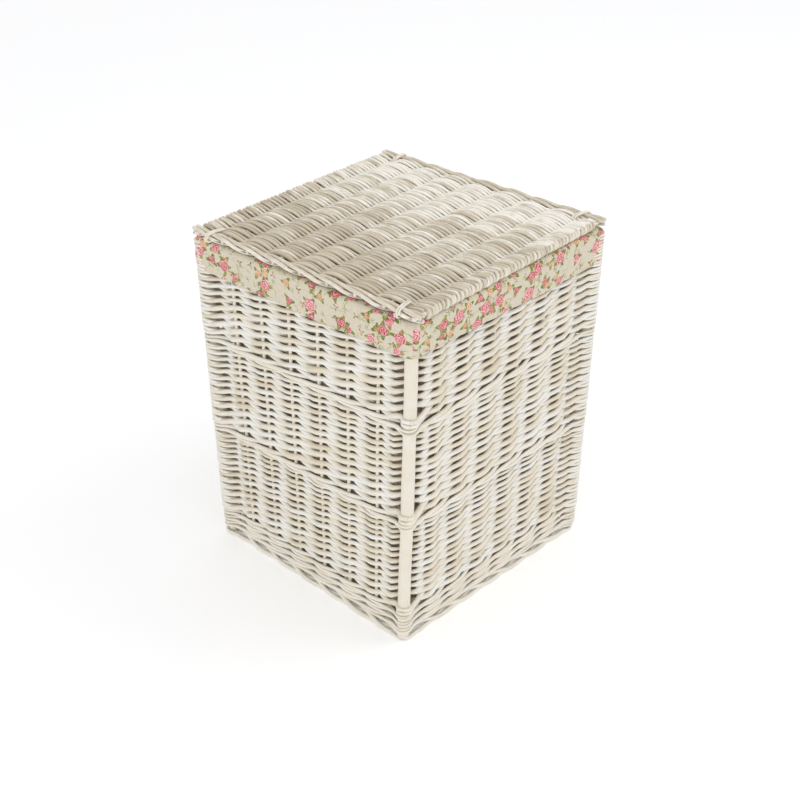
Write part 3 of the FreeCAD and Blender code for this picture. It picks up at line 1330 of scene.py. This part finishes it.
@dataclass
class BasketBase:
    """The woven floor of the basket."""

    half_width: float = 167 * MM
    pitch: float = 5.4 * MM
    rod: float = 2.5 * MM
    weave_height: float = 4.0 * MM
    edge_stick: float = 4.5 * MM     # radius of the two outer sticks

    def build(self, draws: Draws) -> None:
        """Weave the floor and dress its sticks.

        Args:
            draws: seeded random numbers.
        """
        rods = Willow("whitewashed_base_rods", wash_cover=0.1).build()
        stick = Willow("willow_base_stick", Fibres.OBJECT_X, wash_cover=0.1).build()
        low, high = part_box("base_edge_sticks")
        middle, ahead = np.array([0.0, 0.0, (low.z + high.z) / 2]), np.array([1.0, 0.0, 0.0])
        plan = FlatPlan(middle, ahead, (high.y - low.y) / 2 - self.edge_stick)
        weave = PlainWeave(
            "base_rods", "basket", "base_weave", half_width=self.half_width, pitch=self.pitch,
            radius=self.rod, swing=self.weave_height, squeeze=0.1, steps=6,
        )
        weave.build(plan, rods, draws)
        dress_node("base_sticks", stick)
        dress_node("base_edge_sticks", stick)


@dataclass
class Lid:
    """The loose lid: rods woven across the ribs, waled edges left and right, and four bindings."""

    half_width: float = 200 * MM
    edge_width: float = 18 * MM
    rod: float = 2.6 * MM
    swing: float = 4.6 * MM
    edge_rod: float = 2.7 * MM
    edge_spread: float = 5.2 * MM
    edge_swing: float = 3.6 * MM
    stick_radius: float = 2.9 * MM
    binding_rod: float = 1.5 * MM
    binding_from_middle: float = 168 * MM
    binding_turns: int = 2
    binding_pitch: float = 3.6 * MM
    binding_slant: float = 5 * MM    # how much further along the edge it lies at its inner side
    binding_outer: float = 201 * MM  # from the lid's middle
    binding_inner: float = 171 * MM
    binding_flat: float = 0.55       # below 1, flattens the loops from ellipses to boxes
    bars: int = 8                    # gaps between the ribs
    edge_past: float = 0.17          # how far the edges' rods run past the outer sticks, in gaps

    def edge_strands(self, plan: FlatPlan, sign: int, draws: Draws) -> list[Strand]:
        """Lay the three rods that twist along one edge.

        Args:
            plan: the lid's plane.
            sign: -1 for the left edge, 1 for the right one.
            draws: seeded random numbers.

        Returns:
            The rods.
        """
        station = np.linspace(-self.edge_past, self.bars + self.edge_past, 110)
        centre = sign * (self.half_width - self.edge_width / 2)
        gap = 2 * plan.half_reach / self.bars
        strands = []
        for rod in range(RODS):
            hidden, climb = rising_path(station + rod)
            waver = Unevenness(draws, self.bars + 2, 0.4 * MM).at(station + 1)
            x = centre + self.edge_spread * climb + waver
            z = self.edge_swing * (1 - 2 * hidden)
            radius = self.edge_rod * (1 + Unevenness(draws, self.bars + 2, 0.08).at(station + 1))
            tone = np.full(station.size, np.clip(draws.normal(0.3, 0.15), 0, 1))
            points = plan.lay(x, station * gap - plan.half_reach, z)
            wash = 0.3 + 0.3 * hidden
            strands.append(Strand(points, radius, wash, tone, facing_up(z), z, self.edge_swing))
        return strands

    def binding(self, plan: FlatPlan, sign: int, end: int, draws: Draws) -> Strand:
        """Wind a thin rod twice round an edge.

        Args:
            plan: the lid's plane.
            sign: -1 for the left edge, 1 for the right one.
            end: -1 near the front, 1 near the back.
            draws: seeded random numbers.

        Returns:
            The binding.
        """
        turn = np.linspace(0, math.tau * self.binding_turns, 24 * self.binding_turns + 1)
        outer, inner = self.binding_outer, self.binding_inner
        waves = (np.cos(turn), np.sin(turn))
        across, up = (np.sign(wave) * np.abs(wave) ** self.binding_flat for wave in waves)
        x = (outer + inner) / 2 + (outer - inner) / 2 * across
        z = (self.swing + self.rod - 0.6 * MM) * up
        y = end * self.binding_from_middle + self.binding_pitch * (turn / math.tau - self.binding_turns / 2)
        y = y + end * self.binding_slant * (x - outer) / (outer - inner)
        radius = np.full(turn.size, self.binding_rod) * (1 + Unevenness(draws, 8, 0.06).at(turn))
        still = np.zeros(turn.size)
        return Strand(plan.lay(sign * x, y, z), radius, still + 0.5, still + 0.1, facing_up(z), still)

    def build(self, draws: Draws) -> None:
        """Build the lid's pieces and dress its ribs.

        Args:
            draws: seeded random numbers.
        """
        rods = Willow(
            "whitewashed_lid_rods", wood_colour="#D8CDB8", brown_colour="#B9AB93", wash_colour="#FBF7EE",
            # darker painted shade deep in the lid's weave
            painted_shade_colour="#665A4B",
        ).build()
        ribs = Willow("willow_lid_rib", Fibres.OBJECT_X, wash_cover=-0.3, wood_colour="#D8CDB9").build()
        plan = FlatPlan.between("lid_side_stick_front", "lid_side_stick_back")
        weave = PlainWeave(
            "lid_rods", "lid", "lid_weave", half_width=self.half_width - self.edge_width,
            pitch=3.55 * MM, radius=self.rod, swing=self.swing, squeeze=0.4, right_edge_paling=0.4,
        )
        weave.build(plan, rods, draws)
        for place in ("front", "back"):
            node = "lid_side_stick_" + place
            low, high = axis_of(node)
            stick = plain_stick(low, high, self.stick_radius, 30, draws, 0.5)
            Bundle("lid_edge_stick_" + place, "lid", "willow_stick", [stick], 4).build(rods, [node])
        for sign, place in ((-1, "left"), (1, "right")):
            edge = self.edge_strands(plan, sign, draws)
            name = "lid_waled_edge_" + place
            Bundle(name, "lid", "whitewashed_willow", edge).build(rods, ["lid_edge_wale_" + place])
            for end, end_place in ((-1, "front"), (1, "back")):
                name = f"lid_binding_{end_place}_{place}"
                binding = self.binding(plan, sign, end, draws)
                Bundle(name + "_rod", "lid", "whitewashed_willow", [binding]).build(rods, [name])
        dress_node("lid_ribs", ribs)


# --- Liner -----------------------------------------------------------------------------------


class Gathers:
    """Small folds round a closed edge, as a sum of waves with whole numbers of turns."""

    def __init__(self, draws: Draws, slowest: int, fastest: int, waves: int) -> None:
        """Draw the waves.

        Args:
            draws: seeded random numbers.
            slowest: fewest folds round the edge.
            fastest: most folds round the edge.
            waves: how many waves are added up.
        """
        self.turns = draws.integers(slowest, fastest, waves)
        self.phases = draws.uniform(0, math.tau, waves)
        self.sizes = draws.uniform(0.4, 1.0, waves)
        self.sizes /= np.sqrt((self.sizes ** 2).sum() / 2)

    def at(self, share: Array) -> Array:
        """Read the folds.

        Args:
            share: place round the edge, 0 to 1.

        Returns:
            Height of the folds, about -1 to 1.
        """
        angles = math.tau * np.multiply.outer(share, self.turns) + self.phases
        return (np.sin(angles) * self.sizes).sum(axis=-1) / 2


@dataclass
class Liner:
    """The cotton bag, whose top is turned down over the rim as a cuff with an elastic hem."""

    bend: float = 12 * MM        # corner radius of the cloth
    hem_depth: float = 12 * MM
    hem_out: float = 10.9 * MM   # outer face at the hem, from the uprights' line
    hem_gap: float = 1.9 * MM    # between the two layers of the hem
    hem_waves: tuple[tuple[float, int, float], ...] = (    # height, number round the body and phase
        (2.2 * MM, 1, QUARTER_TURN), (1.3 * MM, 4, 0.6), (0.7 * MM, 11, 0.0),
    )
    shoulder_out: float = 12.0 * MM
    bag_out: float = -17.2 * MM
    bag_slack: float = 4.8       # how much deeper folds are in the bag than in the cuff
    fold_lean: float = 0.05      # how far folds lean, in turns round the body for each metre of height
    floor_bend: float = 10 * MM
    floor_inset: float = 9 * MM  # from the bag's wall to the floor's seam
    floor_wave: float = 0.6 * MM
    fold_bend: float = 6 * MM    # where the cloth turns over the rim, outside and inside it
    inner_bend: float = 5 * MM
    taper: float = 0.6 * MM
    cloth: float = 0.7 * MM
    pucker: float = 0.75 * MM
    gather_depth: float = 38 * MM    # how far above the hem the gathers run out
    bag_depth: float = 0.47
    drag: float = 0.9 * MM       # size of the wide folds
    corner_ease: float = 1.2 * MM    # how far the cuff stands off beside a post
    corner_reach: float = 0.55
    elastic_low: float = 2.4 * MM
    elastic_width: float = 6 * MM
    elastic_thickness: float = 0.6 * MM
    panel_width: float = 0.392   # of each of the four panels of the walls, sewn
    floor_side: float = 0.345    # of the floor, as cut
    steps: int = 14
    print_span: float = 54 * MM  # length of print in one span
    panel_shift: tuple[float, float] = (0.137, 0.071)

    PUCKERS = (70, 135, 16)      # fewest and most round the body, and how many waves are added up
    WIDE_FOLDS = (9, 26, 8)

    def profile(self) -> Array:
        """Section of the walls, from inside the hem, over the rim and down to the floor.

        Returns:
            Rows of distance outside the uprights' line and height.
        """
        cuff_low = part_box("liner_cuff")[0].z
        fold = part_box("liner_cuff")[1].z - self.cloth
        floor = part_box("liner_bag")[0].z + self.cloth
        half_gap = self.hem_gap / 2
        around = np.linspace(0, math.pi, 7)
        hem, hem_top = self.hem_out - half_gap, cuff_low + half_gap
        folded, fold_side = self.shoulder_out - self.fold_bend, fold - self.fold_bend
        bag_side, fold_end = self.bag_out + self.inner_bend, fold - self.taper
        foot, floor_top = self.bag_out - self.taper, floor + self.floor_bend
        stretches = [
            line_between((hem - half_gap, cuff_low + self.hem_depth), (hem - half_gap, hem_top), 4),
            np.column_stack([hem - half_gap * np.cos(around), hem_top - half_gap * np.sin(around)]),
            line_between((self.hem_out, hem_top), (self.shoulder_out, fold_side), 18),
            quarter_bend((folded, fold_side), self.fold_bend, 0.0, 6),
            line_between((folded, fold), (bag_side, fold_end), 6),
            quarter_bend((bag_side, fold_end - self.inner_bend), self.inner_bend, QUARTER_TURN, 6),
            line_between((self.bag_out, fold_side), (foot, floor_top), 34),
            quarter_bend((foot - self.floor_bend, floor_top), self.floor_bend, 0.0, 5, -1),
        ]
        joined = np.concatenate(stretches)
        keep = np.concatenate([[True], np.linalg.norm(np.diff(joined, axis=0), axis=1) > 0.05 * MM])
        return joined[keep]

    def build(self, plan: BodyPlan, draws: Draws) -> None:
        """Sew the liner's pieces.

        Args:
            plan: where the uprights stand.
            draws: seeded random numbers.
        """
        cotton = [RosePrintCotton().build(), UnprintedCotton().build()]
        elastic = WovenElastic().build()
        puckers = Gathers(draws, *self.PUCKERS)
        drags = Gathers(draws, *self.WIDE_FOLDS)
        profile = self.profile()
        walls = self.walls(plan, profile, puckers, drags, cotton)
        band = self.elastic_band(plan, puckers, elastic)
        floor = self.floor(plan, draws, cotton)

    def hem_lift(self, share: Array) -> Array:
        """How far the hem rises and falls on its way round.

        Args:
            share: place round the body, 0 to 1, from the left end of the front.

        Returns:
            Height over the hem's mean.
        """
        waves = (size * np.sin(math.tau * turns * share + phase) for size, turns, phase in self.hem_waves)
        return sum(waves)

    def cloth_points(
        self, plan: BodyPlan, profile: Array, puckers: Gathers, drags: Gathers
    ) -> tuple[Array, Array]:
        """Place the cloth's threads: rows along the profile, columns round the body.

        Args:
            plan: where the uprights stand.
            profile: distance outside the uprights' line and height, row by row.
            puckers: gathers at the hem.
            drags: wider, softer folds.

        Returns:
            Points, and each column's place round the body in spans.
        """
        low = profile[:, 1].min()
        cuff_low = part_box("liner_cuff")[0].z
        station = plan.stations(self.steps)
        columns, places = [], []
        out, z = profile[:, :1], profile[:, 1:]
        on_cuff = (np.arange(len(profile)) < int(np.argmax(profile[:, 1])))[:, None]
        over_hem = np.clip((z - cuff_low) / self.gather_depth, 0, 1)
        gathered = np.where(on_cuff, (1 - over_hem) ** 1.5, 0.0)
        in_bag = self.bag_slack * np.sin(math.pi * (z - low) / self.bag_depth)
        slack = np.where(on_cuff, np.sin(math.pi * over_hem), in_bag)
        lean = np.where(on_cuff, 0.0, self.fold_lean * (z - low))
        corner = near_post(from_nearest_post(station), self.corner_reach) * on_cuff
        for side in Side:
            whole = station + SPANS * side.value
            share = whole / STATIONS
            depth = out + self.pucker * gathered * puckers.at(share)
            depth = depth + slack * (self.drag * drags.at(share + lean) + self.corner_ease * corner)
            height = z + np.where(on_cuff, (1 - over_hem) * self.hem_lift(share), 0.0)
            columns.append(plan.lay(side, station, depth, height, self.bend)[0][:, :-1])
            places.append(whole[:-1])
        points = np.concatenate(columns, axis=1)
        return np.concatenate([points, points[:, :1]], axis=1), np.append(np.concatenate(places), STATIONS)

    def sew(
        self, name: str, points: Array, place: Array, along: Array,
        finishes: Sequence[Finish], thickness: float,
    ) -> Piece:
        """Make cloth from rows and columns of points, closed round the body.

        Args:
            name: the piece's name.
            points: rows by columns of points.
            place: each column's place round the body, in spans.
            along: each row's distance along the profile.
            finishes: materials of the right side and of the wrong side.
            thickness: of the cloth.

        Returns:
            The piece.
        """
        rows, columns = points.shape[:2]
        shape = bmesh.new()
        bmesh.ops.create_grid(shape, x_segments=columns - 1, y_segments=rows - 1, size=1.0)
        cloth = shape.loops.layers.uv.new("cloth")
        cell = {}
        for vertex in shape.verts:
            column = round((vertex.co.x + 1) / 2 * (columns - 1))
            row = round((vertex.co.y + 1) / 2 * (rows - 1))
            cell[vertex] = (row, column)
        seam = BodyPlan.TURN
        for face in shape.faces:
            face.smooth = True
            middle = sum(place[cell[loop.vert][1]] for loop in face.loops) / len(face.loops)
            panel = math.floor((middle - seam) / SPANS) % 4
            for loop in face.loops:
                row, column = cell[loop.vert]
                u = place[column] * self.print_span + panel * self.panel_shift[0]
                loop[cloth].uv = (u, along[row] + panel * self.panel_shift[1])
        for vertex, (row, column) in cell.items():
            vertex.co = points[row, column]
        bmesh.ops.remove_doubles(shape, verts=shape.verts, dist=0.01 * MM)
        return self.thicken(close_shape(shape, name, finishes), thickness)

    @staticmethod
    def thicken(mesh: Mesh, thickness: float) -> Piece:
        """Give a sheet its thickness and its second material, which is its wrong side's.

        Args:
            mesh: the sheet, whose faces point to its right side.
            thickness: of the cloth.

        Returns:
            The piece.
        """
        piece = add_object(mesh.name, mesh)
        body = piece.modifiers.new("cloth_thickness", "SOLIDIFY")
        body.thickness = thickness
        body.offset = 0.0
        body.material_offset = 1
        return piece

    def walls(
        self, plan: BodyPlan, profile: Array, puckers: Gathers, drags: Gathers,
        finishes: Sequence[Finish],
    ) -> Piece:
        """Sew the walls and the cuff.

        Args:
            plan: where the uprights stand.
            profile: section of the walls.
            puckers: gathers at the hem.
            drags: wider folds.
            finishes: the cotton's right side and its wrong side.

        Returns:
            The piece.
        """
        along = np.concatenate([[0.0], np.cumsum(np.linalg.norm(np.diff(profile, axis=0), axis=1))])
        points, place = self.cloth_points(plan, profile, puckers, drags)
        piece = self.sew("liner_walls", points, place, along, finishes, self.cloth)
        place_piece(piece, "liner", ["liner_bag", "liner_cuff"])
        return piece

    def elastic_band(self, plan: BodyPlan, puckers: Gathers, finish: Finish) -> Piece:
        """Lay the elastic between the two layers of the hem.

        Args:
            plan: where the uprights stand.
            puckers: gathers at the hem, which it follows.
            finish: the elastic's material.

        Returns:
            The piece.
        """
        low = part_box("liner_cuff")[0].z + self.elastic_low
        high = low + self.elastic_width
        middle = self.hem_out - self.hem_gap / 2
        band = line_between((middle, low), (middle, high), 3)
        drags = Gathers(np.random.default_rng(SEED), *self.WIDE_FOLDS)
        # The highest row of a profile counts as the fold, so one is added and left out again.
        profile = np.vstack([band, [middle, high + 0.01 * MM]])
        points, place = self.cloth_points(plan, profile, puckers, drags)
        finishes = [finish, finish]
        piece = self.sew("hem_elastic", points[:-1], place, band[:, 1], finishes, self.elastic_thickness)
        place_piece(piece, "liner", ["cuff_elastic"])
        return piece

    def floor(self, plan: BodyPlan, draws: Draws, finishes: Sequence[Finish]) -> Piece:
        """Lay the bag's floor.

        Args:
            plan: where the uprights stand.
            draws: seeded random numbers.
            finishes: the cotton's right side and its wrong side.

        Returns:
            The piece.
        """
        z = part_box("liner_bag")[0].z + self.cloth
        corners = [plan.post(corner.value, np.array(z)) for corner in Corner]
        half = np.linalg.norm(corners[1] - corners[0]) / 2 + self.bag_out - self.floor_inset
        turn = math.atan2(*(corners[0] - corners[3])[::-1])
        shape = bmesh.new()
        bmesh.ops.create_grid(shape, x_segments=60, y_segments=60, size=half, calc_uvs=True)
        cloth = shape.loops.layers.uv.new("cloth")
        phases = draws.uniform(0, math.tau, 6)
        for vertex in shape.verts:
            x, y = vertex.co.x, vertex.co.y
            waves = sum(math.sin(x * 40 * (k + 1) + y * 25 * (3 - k) + phases[k]) for k in range(3))
            edge = min(1.0, (half - max(abs(x), abs(y))) / (30 * MM))
            vertex.co.z = z + self.floor_wave * edge * (1 + waves / 3)
        for face in shape.faces:
            face.smooth = True
            for loop in face.loops:
                loop[cloth].uv = (loop.vert.co.x, loop.vert.co.y)
        bmesh.ops.rotate(shape, verts=shape.verts, cent=(0, 0, 0), matrix=Matrix.Rotation(turn, 3, "Z"))
        piece = self.thicken(close_shape(shape, "liner_floor", finishes), self.cloth)
        place_piece(piece, "liner", [])
        return piece


def line_between(start: tuple[float, float], end: tuple[float, float], steps: int) -> Array:
    """Straight part of a profile.

    Args:
        start: first point.
        end: last point.
        steps: how many steps it takes.

    Returns:
        Rows of points.
    """
    share = np.linspace(0, 1, steps + 1)[:, None]
    return np.array(start) * (1 - share) + np.array(end) * share


def quarter_bend(
    centre: tuple[float, float], radius: float, start: float, steps: int, turn: int = 1
) -> Array:
    """Quarter circle of a profile.

    Args:
        centre: of the circle.
        radius: of the circle.
        start: angle at which it starts.
        steps: how many steps it takes.
        turn: 1 for anticlockwise, -1 for clockwise.

    Returns:
        Rows of points.
    """
    angle = start + turn * np.linspace(0, QUARTER_TURN, steps + 1)
    return np.column_stack([centre[0] + radius * np.cos(angle), centre[1] + radius * np.sin(angle)])


# --- Studio ----------------------------------------------------------------------------------


@dataclass
class Studio:
    """White paper floor, soft lights and the camera."""

    azimuth: float = 46.08       # degrees; 0 looks along +Y and 90 along +X
    elevation: float = 30.67     # degrees that the camera looks down
    roll: float = 0.17
    distance: float = 1.9618     # from the point that it looks at
    view_width: float = 32.49    # degrees across the picture
    target: tuple[float, float, float] = (-0.0225, -0.0209, 0.2484)
    floor_half: float = 40.0
    level_light: float = 0.95    # brightness of the world at eye level and straight above
    top_light: float = 0.78
    sensor: float = 36.0         # width in millimetres
    aim: tuple[float, float, float] = (0.0, 0.0, 0.25)    # what the lamps face
    lamps: tuple[tuple[str, tuple[float, float, float], float, float], ...] = (
        ("key_light", (1.5, -1.2, 2.4), 1.7, 12),
        ("fill_light", (-2.0, -1.2, 1.2), 1.6, 9),
    )

    def camera(self) -> None:
        """Set the camera up and make it the scene's own."""
        angles = (self.azimuth, self.elevation, self.roll)
        azimuth, elevation, roll = (math.radians(angle) for angle in angles)
        ahead = Vector((
            math.sin(azimuth) * math.cos(elevation),
            math.cos(azimuth) * math.cos(elevation),
            -math.sin(elevation),
        ))
        level = Vector((math.cos(azimuth), -math.sin(azimuth), 0))
        up = level.cross(ahead)
        right = level * math.cos(roll) + up * math.sin(roll)
        up = right.cross(ahead)
        lens = bpy.data.cameras.new("camera")
        lens.sensor_width = self.sensor
        lens.lens = lens.sensor_width / 2 / math.tan(math.radians(self.view_width) / 2)
        camera = add_object("camera", lens)
        turn = Matrix((right, up, -ahead)).transposed().to_4x4()
        camera.matrix_world = Matrix.Translation(Vector(self.target) - ahead * self.distance) @ turn
        bpy.context.scene.camera = camera

    def lamp(self, name: str, place: tuple[float, float, float], size: float, power: float) -> None:
        """Hang one soft lamp, aimed at the middle of the basket.

        Args:
            name: the lamp's name.
            place: where it hangs.
            size: side of its square face.
            power: in watts.
        """
        light = bpy.data.lights.new(name, "AREA")
        light.size = size
        light.energy = power
        lamp = add_object(name, light)
        aim = Vector(self.aim) - Vector(place)
        lamp.matrix_world = Matrix.Translation(place) @ aim.to_track_quat("-Z", "Y").to_matrix().to_4x4()

    def sky(self) -> None:
        """Light the studio from all round: full at eye level, softer from straight above."""
        world = bpy.data.worlds.new("studio")
        world.use_nodes = True
        nodes, links = world.node_tree.nodes, world.node_tree.links
        place = nodes.new("ShaderNodeTexCoord")
        split = nodes.new("ShaderNodeSeparateXYZ")
        ramp = nodes.new("ShaderNodeValToRGB")
        ramp.color_ramp.elements[0].color = (self.level_light,) * 3 + (1.0,)
        ramp.color_ramp.elements[1].color = (self.top_light,) * 3 + (1.0,)
        links.new(place.outputs["Generated"], split.inputs[0])
        links.new(split.outputs["Z"], ramp.inputs["Fac"])
        links.new(ramp.outputs["Color"], nodes["Background"].inputs["Color"])
        bpy.context.scene.world = world

    def floor(self) -> None:
        """Lay the paper."""
        shape = bmesh.new()
        bmesh.ops.create_grid(shape, x_segments=8, y_segments=8, size=self.floor_half)
        floor = add_object("floor", close_shape(shape, "floor", [StudioPaper().build()]))

    def build(self) -> None:
        """Set up the whole studio."""
        bpy.context.scene.view_settings.view_transform = "Standard"
        self.sky()
        self.floor()
        for lamp in self.lamps:
            self.lamp(*lamp)
        self.camera()


def main() -> None:
    """Build the basket, piece by piece, and the studio round it."""
    logging.basicConfig(level=logging.INFO, format="%(message)s")
    draws = np.random.default_rng(SEED)
    plan = BodyPlan()
    BasketBody().build(plan, draws)
    BasketBase().build(draws)
    Liner().build(plan, draws)
    Lid().build(draws)
    Studio().build()


if __name__ == "__main__":
    main()
